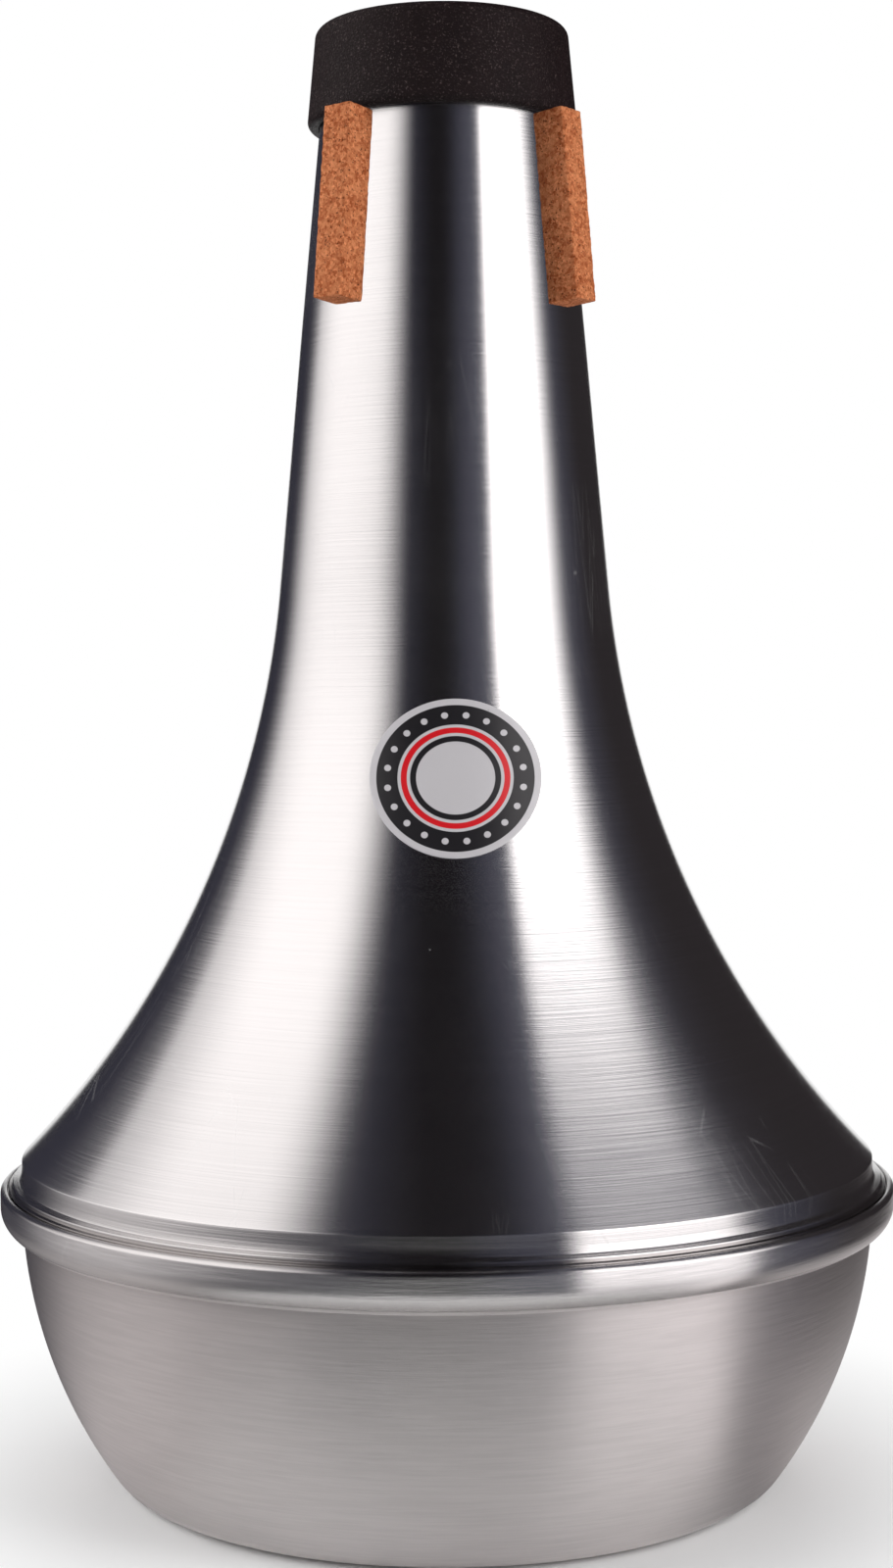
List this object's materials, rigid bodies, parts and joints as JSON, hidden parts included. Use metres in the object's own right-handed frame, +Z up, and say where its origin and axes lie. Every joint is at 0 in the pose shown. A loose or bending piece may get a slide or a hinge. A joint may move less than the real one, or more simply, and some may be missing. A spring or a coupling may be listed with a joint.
{
  "type": "brass instrument mute",
  "caption": "Euphonium straight mute: a spun aluminium cone with a long neck on a round aluminium bowl, with cork grips and a rubber collar at the throat.",
  "frame": {"origin": "centre of the flat base that the mute stands on", "axes": "+Z up along the axis of turning towards the throat; the face with the label looks along -Y"},
  "size_m": [0.216, 0.216, 0.3481],
  "materials": {
    "cone_aluminium": "bright spun, fine turning lines",
    "bowl_aluminium": "satin spun",
    "collar_rubber": "matte, fine stipple",
    "cork": "agglomerated cork, matte",
    "label_vinyl": null
  },
  "bodies": {
    "root": {"cone_shell": "cone_aluminium", "bowl_shell": "bowl_aluminium", "throat_collar": "collar_rubber", "cork_strip_1": "cork", "cork_strip_2": "cork", "cork_strip_3": "cork", "cork_strip_4": "cork", "label": "label_vinyl"}
  },
  "joints": []
}
